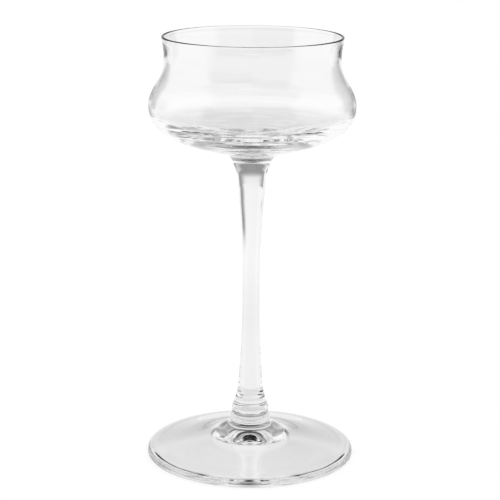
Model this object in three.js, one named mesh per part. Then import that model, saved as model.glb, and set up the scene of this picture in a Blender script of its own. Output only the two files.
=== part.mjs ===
// A waisted coupe on a tall stem, in clear glass. Millimetres, +Z up.
// A blown bowl, a drawn stem and a pressed foot are shaped apart and fused end to end at two flat welds.
// The origin is the centre of the flat ring that the foot rests on.
import * as THREE from 'three';

// Heights of the three pieces, stacked from the table to the rim.
const footHeight = 17.5;
const stemLength = 109;
const bowlHeight = 51.5;

// Headings are in degrees along a profile: 0 leads away from the axis, 90 up and 180 towards the axis.
const outward = 0;
const upward = 90;
const inward = 180;

// Welds: the two pieces that meet share one radius, and at the bowl one heading too, so no step shows there.
const footWeldRadius = 5.8;
const bowlWeldRadius = 8.2;
const bowlWeldHeading = 69;

// Bowl: outside radii, and heights above its weld.
const undersideRadius = 19;
const undersideHeight = 5.5;
const undersideHeading = 16;
const bellyRadius = 42.55;
const bellyHeight = 23;
const neckRadius = 36.15;
const neckHeight = 41;
const rimRadius = 37.1;
const rimHeading = 80;

// Bowl: glass measured square to the outside. The wall thickens downwards into a heavy base.
const rimWall = 1;
const neckWall = 1.4;
const bellyWall = 1.45;
const undersideWall = 6.95;

// Bowl: the inside floor, above the weld. It dips slightly on its way in and rises again to a faint crown.
const floorRadius = 11.9;
const floorHeight = 11.9;
const floorHeading = 187;
const crownHeight = 12.4;

// Stem: radii, and heights above the weld to the foot, where the groove between stem and boss is narrowest.
// The throat is set down from the weld to the bowl.
const grooveHeading = 23.5;
const shoulderRadius = 7.8;
const shoulderHeight = 1.85;
const flankRadius = 6.95;
const flankHeight = 4.85;
const flankHeading = 109.5;
const ankleRadius = 4.9;
const ankleHeight = 15.7;
const ankleHeading = 94;
const waistRadius = 3.5;
const waistHeight = 60;
const throatRadius = 5.85;
const throatDrop = 7.5;
const throatHeading = 86;

// Foot: the edge, well rounded above and a little below, the narrow flat ring inside it that rests on the table,
// and the hollow within the ring, which follows the top at a nearly even thickness.
const footRadius = 43.75;
const edgeRound = 0.8;
const edgeHeight = 0.8;
const cornerRound = 2.2;
const ringWidth = 3;
const hollowRadius = 15.05;
const hollowHeight = 4.2;
const hollowHeading = -7.8;
const hollowRise = 6.2;

// Foot: the gently sloping top, the mound, and the boss with its collar, which ends in the groove below the stem.
const slopeOuterHeight = 3.5;
const slopeInnerRadius = 21.45;
const slopeInnerHeight = 7.6;
const slopeHeading = 171.7;
const moundRadius = 14.5;
const moundHeight = 9.75;
const moundHeading = 138;
const bossRadius = 9.6;
const bossHeight = 12.7;
const bossHeading = 150;
const collarRadius = 8.65;
const collarHeight = 14.4;
const collarHeading = 130;
const bossTopRadius = 8.1;
const bossTopDrop = 0.55;
const bossTopHeading = 140;
const seamHeading = 175.5;

// Fineness of the solids.
const segmentsAround = 40;
const bowlSteps = 8;
const floorSteps = 5;
const stemSteps = 5;
const footSteps = 5;
const roundSteps = 3;

// The share of the chord at which a quarter turn of a cubic curve comes out round.
const handleShare = 0.39;

// A place on a profile, with the heading at which the profile passes through it.
function knot(radius, height, heading) {
  return { point: new THREE.Vector2(radius, height), angle: THREE.MathUtils.degToRad(heading) };
}

// The matching place on the inner face of a wall, with the profile on its way back.
function throughWall({ point, angle }, wall) {
  const square = new THREE.Vector2(-Math.sin(angle), Math.cos(angle));
  return { point: point.clone().addScaledVector(square, wall), angle: angle + Math.PI };
}

// A smooth curve from one knot to the next, tangent to both headings.
function stretch(from, to) {
  const reach = handleShare * from.point.distanceTo(to.point);
  const handle = ({ point, angle }, along) =>
    new THREE.Vector2(point.x + along * Math.cos(angle), point.y + along * Math.sin(angle));
  return new THREE.CubicBezierCurve(from.point, handle(from, reach), handle(to, -reach), to.point);
}

// The points of a run of stretches, with each shared knot kept once.
function curveThrough(knots, steps) {
  const points = [knots[0].point];
  for (let i = 1; i < knots.length; i += 1) {
    points.push(...stretch(knots[i - 1], knots[i]).getPoints(steps).slice(1));
  }
  return points;
}

function onAxis(height) {
  return new THREE.Vector2(0, height);
}

function clearGlass() {
  return new THREE.MeshStandardMaterial({
    color: 0xf3f6f7,
    roughness: 0.04,
    metalness: 0,
    transparent: true,
    opacity: 0.35,
  });
}

// A solid of revolution: the profile runs from the axis below, up the outside and back to the axis.
function turnedPiece(name, profile, baseHeight) {
  const geometry = new THREE.LatheGeometry(profile, segmentsAround);
  geometry.rotateX(Math.PI / 2);
  const mesh = new THREE.Mesh(geometry, clearGlass());
  mesh.name = name;
  mesh.position.z = baseHeight;
  return mesh;
}

function bowlProfile() {
  const weld = knot(bowlWeldRadius, 0, bowlWeldHeading);
  const underside = knot(undersideRadius, undersideHeight, undersideHeading);
  const belly = knot(bellyRadius, bellyHeight, upward);
  const neck = knot(neckRadius, neckHeight, upward);
  const rim = knot(rimRadius, bowlHeight - rimWall / 2, rimHeading);
  const lipTop = knot(rimRadius - rimWall / 2, bowlHeight, inward);
  const rimInside = throughWall(rim, rimWall);
  const neckInside = throughWall(neck, neckWall);
  const bellyInside = throughWall(belly, bellyWall);
  const undersideInside = throughWall(underside, undersideWall);
  const floorEdge = knot(floorRadius, floorHeight, floorHeading);
  const floorCrown = knot(0, crownHeight, inward);
  return [
    onAxis(0),
    ...curveThrough([weld, underside, belly, neck, rim], bowlSteps),
    ...curveThrough([rim, lipTop, rimInside], roundSteps).slice(1, -1),
    ...curveThrough([rimInside, neckInside, bellyInside, undersideInside], bowlSteps),
    ...curveThrough([undersideInside, floorEdge, floorCrown], floorSteps).slice(1),
  ];
}

function stemProfile() {
  const footWeld = knot(footWeldRadius, 0, grooveHeading);
  const shoulder = knot(shoulderRadius, shoulderHeight, upward);
  const flank = knot(flankRadius, flankHeight, flankHeading);
  const ankle = knot(ankleRadius, ankleHeight, ankleHeading);
  const waist = knot(waistRadius, waistHeight, upward);
  const throat = knot(throatRadius, stemLength - throatDrop, throatHeading);
  const bowlWeld = knot(bowlWeldRadius, stemLength, bowlWeldHeading);
  return [
    onAxis(0),
    ...curveThrough([footWeld, shoulder, flank], roundSteps),
    ...curveThrough([flank, ankle, waist, throat, bowlWeld], stemSteps).slice(1),
    onAxis(stemLength),
  ];
}

function footProfile() {
  const shelfRadius = footRadius - edgeRound;
  const hollowTop = knot(0, hollowRise, outward);
  const hollow = knot(hollowRadius, hollowHeight, hollowHeading);
  const ringInner = knot(shelfRadius - ringWidth, 0, hollowHeading);
  const ringOuter = knot(shelfRadius, 0, outward);
  const edge = knot(footRadius, edgeHeight, upward);
  const side = knot(footRadius, slopeOuterHeight - cornerRound, upward);
  const slopeOuter = knot(footRadius - cornerRound, slopeOuterHeight, slopeHeading);
  const slopeInner = knot(slopeInnerRadius, slopeInnerHeight, slopeHeading);
  const mound = knot(moundRadius, moundHeight, moundHeading);
  const boss = knot(bossRadius, bossHeight, bossHeading);
  const collar = knot(collarRadius, collarHeight, collarHeading);
  const bossTop = knot(bossTopRadius, footHeight - bossTopDrop, bossTopHeading);
  const stemWeld = knot(footWeldRadius, footHeight, seamHeading);
  return [
    ...curveThrough([hollowTop, hollow, ringInner], footSteps),
    ...curveThrough([ringOuter, edge], roundSteps),
    ...curveThrough([side, slopeOuter], roundSteps),
    ...curveThrough([slopeOuter, slopeInner, mound, boss], footSteps).slice(1),
    ...curveThrough([boss, collar, bossTop, stemWeld], roundSteps).slice(1),
    onAxis(footHeight),
  ];
}

const glass = new THREE.Group();
glass.add(turnedPiece('foot', footProfile(), 0));
glass.add(turnedPiece('stem', stemProfile(), footHeight));
glass.add(turnedPiece('bowl', bowlProfile(), footHeight + stemLength));

export default glass;
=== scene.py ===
"""Looks of a clear waisted coupe on a tall stem: smooth glass pieces, soft studio light and the camera."""
import math

import bpy
import numpy as np
from mathutils import Euler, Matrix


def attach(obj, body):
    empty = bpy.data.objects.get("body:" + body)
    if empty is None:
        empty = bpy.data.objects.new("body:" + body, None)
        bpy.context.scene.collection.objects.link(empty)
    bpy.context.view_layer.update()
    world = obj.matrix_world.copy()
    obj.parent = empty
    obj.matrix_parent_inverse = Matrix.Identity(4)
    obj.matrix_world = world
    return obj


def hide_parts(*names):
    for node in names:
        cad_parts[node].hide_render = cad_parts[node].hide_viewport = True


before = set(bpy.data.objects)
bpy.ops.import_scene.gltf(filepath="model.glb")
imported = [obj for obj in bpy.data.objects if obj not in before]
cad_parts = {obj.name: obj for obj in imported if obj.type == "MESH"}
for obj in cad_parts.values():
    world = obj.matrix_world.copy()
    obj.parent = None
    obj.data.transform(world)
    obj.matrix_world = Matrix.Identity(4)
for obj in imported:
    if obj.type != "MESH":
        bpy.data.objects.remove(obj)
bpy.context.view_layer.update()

# Camera, in metres and degrees, with its lens and sensor in millimetres. It stands in front of the glass and
# looks down on it.
CAMERA_DISTANCE = 0.6886
CAMERA_HEIGHT = 0.2609
CAMERA_TILT = 14.05
CAMERA_ROLL = 0.42
CAMERA_SIDE = -0.00055
CAMERA_LENS = 122.4
CAMERA_SENSOR = 36.0
CAMERA_CLIP = 0.01

# Fineness of the glass: facets round the axis, and the longest step along an outline in metres.
FACETS = 192
OUTLINE_STEP = 0.0006

# A radius below the first is on the axis; points this close in radius or height share it, in metres. Places
# are rounded to so many digits, so that the ends of edges meet.
AXIS_TOLERANCE = 1e-6
STRAIGHT_TOLERANCE = 2e-6
PLACE_DIGITS = 7

# Each piece has its glass as the first material, and the inside of a weld as the one with this index.
WELD_INDEX = 1
GLASS_IOR = 1.52
WHITE = (1, 1, 1, 1)

# How far light is followed. Light that is mirrored more than MIRRORINGS times counts as lost in the glass.
LIGHT_BOUNCES = 64
MIRRORINGS = 15

# Blown glass is never quite even: ripples on the bowl's inside floor, in metres. They grow as far as
# RIPPLE_START from the axis and die out by RIPPLE_END. Each ripple is its share of the height, its length
# from crest to crest, how many times it winds round the axis, and the angle in radians that it starts at.
RIPPLE_HEIGHT = 0.00014
RIPPLE_START = 0.004
RIPPLE_END = 0.034
RIPPLES = ((1.0, 0.0092, 2, -0.25), (0.6, 0.0049, -3, 1.61))

# Faint relief on each surface, its height in metres and its pattern: lazy cords in the blown bowl, fine
# streaks along the drawn stem and rings on the pressed foot. A scale is about so many waves a metre, or
# three times as many rings. A stretch multiplies X, Y and Z, so a small number draws the pattern out.
BLOWN_RELIEF = 0.000012
CORD_SCALE = 80
CORD_STRETCH = (1, 1, 0.4)
DRAWN_RELIEF = 0.000006
STREAK_SCALE = 450
STREAK_STRETCH = (1, 1, 0.03)
PRESSED_RELIEF = 0.000008
RING_SCALE = 40
RING_WOBBLE = 1.5
RELIEF_DETAIL = 2

# Polish: the roughness of the best and the worst places, and the patches that they lie in.
POLISH = (0.0, 0.012)
PATCH_SCALE = 55
PATCH_DETAIL = 3
PATCH_RANGE = (0.45, 0.75)
UNSTRETCHED = (1, 1, 1)

# The table lies a hair below the foot's flat ring. Seen through the glass it is a glow of painted light and
# shade:
# a little grey with painted shade out to TABLE_NEAR and paler painted light from TABLE_FAR on. To the camera
# it has a glow and a matte colour of its own, and the matte part takes the shadow. Lengths are in metres.
TABLE_GAP = 0.0001
TABLE_RADIUS = 1.2
TABLE_NEAR = 0.14
TABLE_FAR = 0.38
TABLE_NEAR_LEVEL = 0.9
TABLE_FAR_LEVEL = 0.98
TABLE_OWN_GLOW = 0.75
TABLE_OWN_COLOUR = 0.3

# Limits past every turn, distance and lift that is seen, for zones that have no end on that side.
PAST_TURNS = 400
PAST_TABLE = 3.0
PAST_LIFTS = 120
STRAIGHT_DOWN = -90

# Zones of painted shade on the table, painted over its tone as seen through the glass. Turns are degrees
# from straight behind the glass, to the right as the camera sees it. Each zone is its level, the turns that
# it lies between, how softly it ends in them, and the same two for its distance from the glass. The camera's
# end of the table has painted shade in reflections only, so that the glass stays clear when it is looked
# through from behind.
MIRRORED_TABLE_ZONES = {
    "left_end": (0.28, (-PAST_TURNS, -124), 20, (0.12, PAST_TABLE), 0.06),
    "right_end": (0.28, (124, PAST_TURNS), 20, (0.12, PAST_TABLE), 0.06),
}
TABLE_ZONES = {
    "left_shade": (0.1, (-45, -22), 16, (1.05, PAST_TABLE), 0.25),
    "right_shade": (0.25, (26, 50), 16, (0.6, PAST_TABLE), 0.4),
    "back_shade": (0.93, (-30, 30), 30, (0.9, PAST_TABLE), 0.7),
}

# Studio: zones painted over one another on a room of even grey, with lifts in degrees above level in place
# of the distances. The camera's side is dark in reflections only. FLOOR_LIGHT is the least that the floor
# gets from any side.
ROOM_LEVEL = 0.85
FLOOR_LIGHT = 0.9
MIRRORED_ZONES = {
    "front_left": (0.0, (-PAST_TURNS, -122), 14, (STRAIGHT_DOWN, 26), 4),
    "front_right": (0.3, (126, PAST_TURNS), 20, (STRAIGHT_DOWN, 40), 14),
}
ZONES = {
    "left_softbox": (1.0, (-120, -47), 12, (STRAIGHT_DOWN, 62), 8),
    "right_softbox": (1.0, (52, 130), 14, (STRAIGHT_DOWN, 42), 20),
    "backdrop": (0.27, (-45, 57), 10, (STRAIGHT_DOWN, 22), 8),
    "back_glow": (0.95, (-30, 28), 30, (STRAIGHT_DOWN, 4), 26),
    "back_flag": (0.03, (-19, 26), 40, (24, 71), 9),
    "dark_ceiling": (0.0, (-60, 60), 40, (64, PAST_LIFTS), 4),
}


# Outlines, read from the frame

def solid_outline(node):
    """The half section of a CAD solid: (radius, height) points in order, from the lower end on the axis."""
    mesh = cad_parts[node].data
    places = np.array([v.co for v in mesh.vertices])
    on_meridian = (np.abs(places[:, 0]) < AXIS_TOLERANCE) & (places[:, 1] < AXIS_TOLERANCE)
    keys = {}
    for i in np.flatnonzero(on_meridian):
        keys[i] = (round(-places[i, 1], PLACE_DIGITS), round(places[i, 2], PLACE_DIGITS))
    links = {}
    for edge in mesh.edges:
        ends = [keys.get(i) for i in edge.vertices]
        if None in ends or ends[0] == ends[1]:
            continue
        links.setdefault(ends[0], set()).add(ends[1])
        links.setdefault(ends[1], set()).add(ends[0])
    point = min((p for p in links if len(links[p]) == 1), key=lambda p: p[1])
    walked = [point]
    while True:
        onward = [p for p in links[point] if p not in walked]
        if not onward:
            return np.array(walked)
        point = onward[0]
        walked.append(point)


def split_at_flats(outline):
    """The runs of an outline: level and upright edges stand alone, and the curves lie between them."""
    runs = []
    curve = [outline[0]]
    for here, there in zip(outline[:-1], outline[1:]):
        if min(abs(there - here)) < STRAIGHT_TOLERANCE:
            if len(curve) > 1:
                runs.append(np.array(curve))
            runs.append(np.array([here, there]))
            curve = [there]
        else:
            curve.append(there)
    if len(curve) > 1:
        runs.append(np.array(curve))
    return runs


def run_tangents(run):
    """Unit directions at a run's points, level where the run meets the axis."""
    steps = np.diff(run, axis=0)
    lengths = np.linalg.norm(steps, axis=1)[:, None]
    ways = steps / lengths
    tangents = np.empty_like(run)
    tangents[1:-1] = (ways[:-1] * lengths[1:] + ways[1:] * lengths[:-1]) / (lengths[1:] + lengths[:-1])
    tangents[0] = 2 * ways[0] - tangents[1]
    tangents[-1] = 2 * ways[-1] - tangents[-2]
    if run[0, 0] < AXIS_TOLERANCE:
        tangents[0] = (1, 0)
    if run[-1, 0] < AXIS_TOLERANCE:
        tangents[-1] = (-1, 0)
    return tangents / np.linalg.norm(tangents, axis=1)[:, None]


def smooth_run(run):
    """A run drawn as a smooth curve through its points, in steps no longer than OUTLINE_STEP."""
    if len(run) == 2:
        return run
    tangents = run_tangents(run)
    points = [run[:1]]
    for i in range(len(run) - 1):
        reach = np.linalg.norm(run[i + 1] - run[i])
        t = np.linspace(0, 1, math.ceil(reach / OUTLINE_STEP) + 1)[1:, None]
        points.append(
            (2 * t**3 - 3 * t**2 + 1) * run[i]
            + (t**3 - 2 * t**2 + t) * reach * tangents[i]
            + (3 * t**2 - 2 * t**3) * run[i + 1]
            + (t**3 - t**2) * reach * tangents[i + 1]
        )
    return np.concatenate(points)


def floor_ripple(radius, angles):
    """How far the bowl's inside floor stands above its outline, round a ring of the given radius."""
    if radius > RIPPLE_END:
        return np.zeros_like(angles)
    dying = (1 - (radius / RIPPLE_END) ** 2) ** 2
    growing = min(1, (radius / RIPPLE_START) ** 2)
    waves = [share * np.sin(2 * math.pi * radius / length + windings * angles + start)
             for share, length, windings, start in RIPPLES]
    return RIPPLE_HEIGHT * dying * growing * sum(waves)


def turned_mesh(name, runs, inner_ripple=None):
    """A closed mesh turned from the runs of an outline. Discs that close a weld take the second material.

    A ripple, where one is given, lifts the points that come after a curve's top.
    """
    mesh_points = []
    faces = []
    weld_faces = []
    sharp_edges = set()
    angles = np.arange(FACETS) * (2 * math.pi / FACETS)
    circle = np.stack([np.sin(angles), -np.cos(angles)], axis=1)

    def ring(point, ripple=None):
        first = len(mesh_points)
        if point[0] < AXIS_TOLERANCE:
            mesh_points.append((0.0, 0.0, point[1]))
            return [first]
        heights = np.full(FACETS, point[1])
        if ripple:
            heights += ripple(point[0], angles)
        for (across, along), height in zip(circle, heights):
            mesh_points.append((point[0] * across, point[0] * along, height))
        return list(range(first, first + FACETS))

    def join(lower, upper):
        for j in range(FACETS):
            k = (j + 1) % FACETS
            if len(lower) == 1:
                faces.append((lower[0], upper[k], upper[j]))
            elif len(upper) == 1:
                faces.append((lower[j], lower[k], upper[0]))
            else:
                faces.append((lower[j], lower[k], upper[k], upper[j]))

    previous = ring(runs[0][0])
    for run in runs:
        is_weld = len(run) == 2 and run[:, 0].min() < AXIS_TOLERANCE
        top = np.argmax(run[:, 1])
        for i, point in enumerate(run[1:], start=1):
            following = ring(point, inner_ripple if i > top and not is_weld else None)
            first_face = len(faces)
            join(previous, following)
            if is_weld:
                weld_faces.extend(range(first_face, len(faces)))
                rim = following if len(following) > 1 else previous
                sharp_edges.update(frozenset((rim[j], rim[(j + 1) % FACETS])) for j in range(FACETS))
            previous = following
    mesh = bpy.data.meshes.new(name)
    mesh.from_pydata(mesh_points, [], faces)
    mesh.shade_smooth()
    for edge in mesh.edges:
        edge.use_edge_sharp = frozenset(edge.vertices) in sharp_edges
    for index in weld_faces:
        mesh.polygons[index].material_index = WELD_INDEX
    mesh.validate()
    return mesh


# Node trees

def maths(tree):
    """Functions that add nodes to a tree: one operation, and soft zones painted over a level.

    A strength of less than one lets the level below the zones show through.
    """
    def compute(operation, *inputs):
        node = tree.nodes.new("ShaderNodeMath")
        node.operation = operation
        for socket, value in zip(node.inputs, inputs):
            if isinstance(value, (int, float)):
                socket.default_value = value
            else:
                tree.links.new(value, socket)
        return node.outputs[0]

    def soft_step(value, at, softness):
        node = tree.nodes.new("ShaderNodeMapRange")
        node.interpolation_type = "SMOOTHSTEP"
        node.inputs["From Min"].default_value = at - softness / 2
        node.inputs["From Max"].default_value = at + softness / 2
        tree.links.new(value, node.inputs["Value"])
        return node.outputs["Result"]

    def between(value, limits, softness):
        begun = soft_step(value, limits[0], softness)
        ended = soft_step(value, limits[1], softness)
        return compute("SUBTRACT", begun, ended)

    def paint(level, zones, turn, other, strength=1.0):
        for zone_level, turns, turn_softness, others, other_softness in zones.values():
            in_turns = between(turn, turns, turn_softness)
            in_others = between(other, others, other_softness)
            cover = compute("MULTIPLY", compute("MULTIPLY", in_turns, in_others), strength)
            uncovered = compute("MULTIPLY", level, compute("SUBTRACT", 1.0, cover))
            level = compute("MULTIPLY_ADD", cover, zone_level, uncovered)
        return level

    return compute, paint


def parts_of(tree, vector):
    """The X, Y and Z of a vector."""
    split = tree.nodes.new("ShaderNodeSeparateXYZ")
    tree.links.new(vector, split.inputs["Vector"])
    return split.outputs


# Materials

def new_material(name):
    """A material with an empty node tree, and the nodes and links of that tree."""
    material = bpy.data.materials.new(name)
    material.use_nodes = True
    nodes = material.node_tree.nodes
    nodes.clear()
    return material, nodes, material.node_tree.links


def stretched_place(nodes, links, stretch):
    """Places on the piece, scaled along X, Y and Z."""
    place = nodes.new("ShaderNodeTexCoord")
    mapping = nodes.new("ShaderNodeMapping")
    mapping.inputs["Scale"].default_value = stretch
    links.new(place.outputs["Object"], mapping.inputs["Vector"])
    return mapping.outputs["Vector"]


def noise(nodes, links, place, scale, detail):
    """Soft noise over places, from nought to one."""
    texture = nodes.new("ShaderNodeTexNoise")
    texture.inputs["Scale"].default_value = scale
    texture.inputs["Detail"].default_value = detail
    links.new(place, texture.inputs["Vector"])
    return texture.outputs["Fac"]


def clear_glass(name, relief_pattern, relief):
    """Clear glass with a faint relief on its surface and a polish that is not quite even."""
    material, nodes, links = new_material(name)
    shader = nodes.new("ShaderNodeBsdfPrincipled")
    shader.inputs["Base Color"].default_value = WHITE
    shader.inputs["IOR"].default_value = GLASS_IOR
    shader.inputs["Transmission Weight"].default_value = 1.0
    polish = nodes.new("ShaderNodeMapRange")
    polish.inputs["From Min"].default_value = PATCH_RANGE[0]
    polish.inputs["From Max"].default_value = PATCH_RANGE[1]
    polish.inputs["To Min"].default_value = POLISH[0]
    polish.inputs["To Max"].default_value = POLISH[1]
    patches = noise(nodes, links, stretched_place(nodes, links, UNSTRETCHED), PATCH_SCALE, PATCH_DETAIL)
    links.new(patches, polish.inputs["Value"])
    links.new(polish.outputs["Result"], shader.inputs["Roughness"])
    bump = nodes.new("ShaderNodeBump")
    bump.inputs["Distance"].default_value = relief
    links.new(relief_pattern(nodes, links), bump.inputs["Height"])
    links.new(bump.outputs["Normal"], shader.inputs["Normal"])
    output = nodes.new("ShaderNodeOutputMaterial")
    links.new(shader.outputs["BSDF"], output.inputs["Surface"])
    return material


def blown_pattern(nodes, links):
    """Long lazy cords, as left by turning and blowing."""
    return noise(nodes, links, stretched_place(nodes, links, CORD_STRETCH), CORD_SCALE, RELIEF_DETAIL)


def drawn_pattern(nodes, links):
    """Fine streaks along the stem, as left by drawing it out."""
    return noise(nodes, links, stretched_place(nodes, links, STREAK_STRETCH), STREAK_SCALE, RELIEF_DETAIL)


def pressed_pattern(nodes, links):
    """Faint rings about the axis, as left by the mould."""
    rings = nodes.new("ShaderNodeTexWave")
    rings.wave_type = "RINGS"
    rings.rings_direction = "Z"
    rings.inputs["Scale"].default_value = RING_SCALE
    rings.inputs["Distortion"].default_value = RING_WOBBLE
    links.new(stretched_place(nodes, links, UNSTRETCHED), rings.inputs["Vector"])
    return rings.outputs["Fac"]


def weld_material():
    """The inside of a weld: two pieces of hot glass run into one, so light goes straight on."""
    material, nodes, links = new_material("weld")
    output = nodes.new("ShaderNodeOutputMaterial")
    clear = nodes.new("ShaderNodeBsdfTransparent")
    links.new(clear.outputs["BSDF"], output.inputs["Surface"])
    return material


def table_material():
    """Pale to the camera, with the glass's faint shadow; through the glass, painted light and shade by
    place.
    """
    material, nodes, links = new_material("table")
    compute, paint = maths(material.node_tree)
    place = nodes.new("ShaderNodeNewGeometry").outputs["Position"]
    length = nodes.new("ShaderNodeVectorMath")
    length.operation = "LENGTH"
    links.new(place, length.inputs[0])
    distance = length.outputs["Value"]
    tone = nodes.new("ShaderNodeMapRange")
    tone.interpolation_type = "SMOOTHSTEP"
    tone.inputs["From Min"].default_value = TABLE_NEAR
    tone.inputs["From Max"].default_value = TABLE_FAR
    tone.inputs["To Min"].default_value = TABLE_NEAR_LEVEL
    tone.inputs["To Max"].default_value = TABLE_FAR_LEVEL
    links.new(distance, tone.inputs["Value"])
    x, y, _ = parts_of(material.node_tree, place)
    turn = compute("DEGREES", compute("ARCTAN2", x, y))
    path = nodes.new("ShaderNodeLightPath")
    mirrored = compute("MINIMUM", path.outputs["Glossy Depth"], 1.0)
    level = paint(tone.outputs["Result"], MIRRORED_TABLE_ZONES, turn, distance, mirrored)
    level = paint(level, TABLE_ZONES, turn, distance)
    # Seen through the glass the table glows: its level is painted light and shade, not lit by the studio.
    painted_light_through_glass = nodes.new("ShaderNodeEmission")
    links.new(level, painted_light_through_glass.inputs["Strength"])
    matte = nodes.new("ShaderNodeBsdfDiffuse")
    matte.inputs["Color"].default_value = (TABLE_OWN_COLOUR, TABLE_OWN_COLOUR, TABLE_OWN_COLOUR, 1)
    glow = nodes.new("ShaderNodeEmission")
    glow.inputs["Strength"].default_value = TABLE_OWN_GLOW
    seen_direct = nodes.new("ShaderNodeAddShader")
    links.new(matte.outputs["BSDF"], seen_direct.inputs[0])
    links.new(glow.outputs["Emission"], seen_direct.inputs[1])
    mix = nodes.new("ShaderNodeMixShader")
    links.new(path.outputs["Is Camera Ray"], mix.inputs["Fac"])
    links.new(painted_light_through_glass.outputs["Emission"], mix.inputs[1])
    links.new(seen_direct.outputs["Shader"], mix.inputs[2])
    output = nodes.new("ShaderNodeOutputMaterial")
    links.new(mix.outputs["Shader"], output.inputs["Surface"])
    return material


# Studio

def studio_world():
    """Soft zones of light all round the glass, and plain white to the camera."""
    world = bpy.data.worlds.new("studio")
    bpy.context.scene.world = world
    world.cycles.sampling_method = "NONE"
    world.use_nodes = True
    nodes = world.node_tree.nodes
    links = world.node_tree.links
    nodes.clear()
    compute, paint = maths(world.node_tree)
    x, y, z = parts_of(world.node_tree, nodes.new("ShaderNodeTexCoord").outputs["Generated"])
    turn = compute("DEGREES", compute("ARCTAN2", x, y))
    lift = compute("DEGREES", compute("ARCSINE", z))
    path = nodes.new("ShaderNodeLightPath")
    mirrored = compute("MINIMUM", path.outputs["Glossy Depth"], 1.0)
    lights_floor = compute("MINIMUM", path.outputs["Diffuse Depth"], 1.0)
    level = paint(ROOM_LEVEL, MIRRORED_ZONES, turn, lift, mirrored)
    level = paint(level, ZONES, turn, lift)
    level = compute("MAXIMUM", level, path.outputs["Is Camera Ray"])
    level = compute("MAXIMUM", level, compute("MULTIPLY", lights_floor, FLOOR_LIGHT))
    background = nodes.new("ShaderNodeBackground")
    background.inputs["Color"].default_value = WHITE
    links.new(level, background.inputs["Strength"])
    output = nodes.new("ShaderNodeOutputWorld")
    links.new(background.outputs["Background"], output.inputs["Surface"])


def table():
    """A round table top under the foot, as part of the stage."""
    mesh = bpy.data.meshes.new("table")
    angles = np.arange(FACETS) * (2 * math.pi / FACETS)
    corners = [(TABLE_RADIUS * math.cos(a), TABLE_RADIUS * math.sin(a), -TABLE_GAP) for a in angles]
    mesh.from_pydata(corners, [], [tuple(range(FACETS))])
    mesh.materials.append(table_material())
    floor = bpy.data.objects.new("table", mesh)
    bpy.context.collection.objects.link(floor)


def camera():
    """The camera that the main view is taken with."""
    data = bpy.data.cameras.new("camera")
    data.lens = CAMERA_LENS
    data.sensor_width = CAMERA_SENSOR
    data.clip_start = CAMERA_CLIP
    eye = bpy.data.objects.new("camera", data)
    bpy.context.collection.objects.link(eye)
    eye.location = (CAMERA_SIDE, -CAMERA_DISTANCE, CAMERA_HEIGHT)
    aim = Euler((math.radians(90 - CAMERA_TILT), 0, 0)).to_matrix()
    roll = Euler((0, 0, math.radians(CAMERA_ROLL))).to_matrix()
    eye.rotation_euler = (aim @ roll).to_euler()
    bpy.context.scene.camera = eye


# Pieces


def glass_piece(node, material, weld, inner_ripple=None):
    """The smooth glass that replaces a CAD node, turned from that node's own half section."""
    runs = [smooth_run(run) for run in split_at_flats(solid_outline(node))]
    mesh = turned_mesh(node + "_glass", runs, inner_ripple)
    mesh.materials.append(material)
    mesh.materials.append(weld)
    piece = bpy.data.objects.new(node + "_glass", mesh)
    bpy.context.collection.objects.link(piece)
    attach(piece, "root")
    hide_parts(node)


scene = bpy.context.scene
scene.view_settings.view_transform = "Standard"
scene.cycles.max_bounces = LIGHT_BOUNCES
scene.cycles.transmission_bounces = LIGHT_BOUNCES
scene.cycles.glossy_bounces = MIRRORINGS
camera()
studio_world()
table()
weld = weld_material()
glass_piece("bowl", clear_glass("blown_glass", blown_pattern, BLOWN_RELIEF), weld, floor_ripple)
glass_piece("stem", clear_glass("drawn_glass", drawn_pattern, DRAWN_RELIEF), weld)
glass_piece("foot", clear_glass("pressed_glass", pressed_pattern, PRESSED_RELIEF), weld)
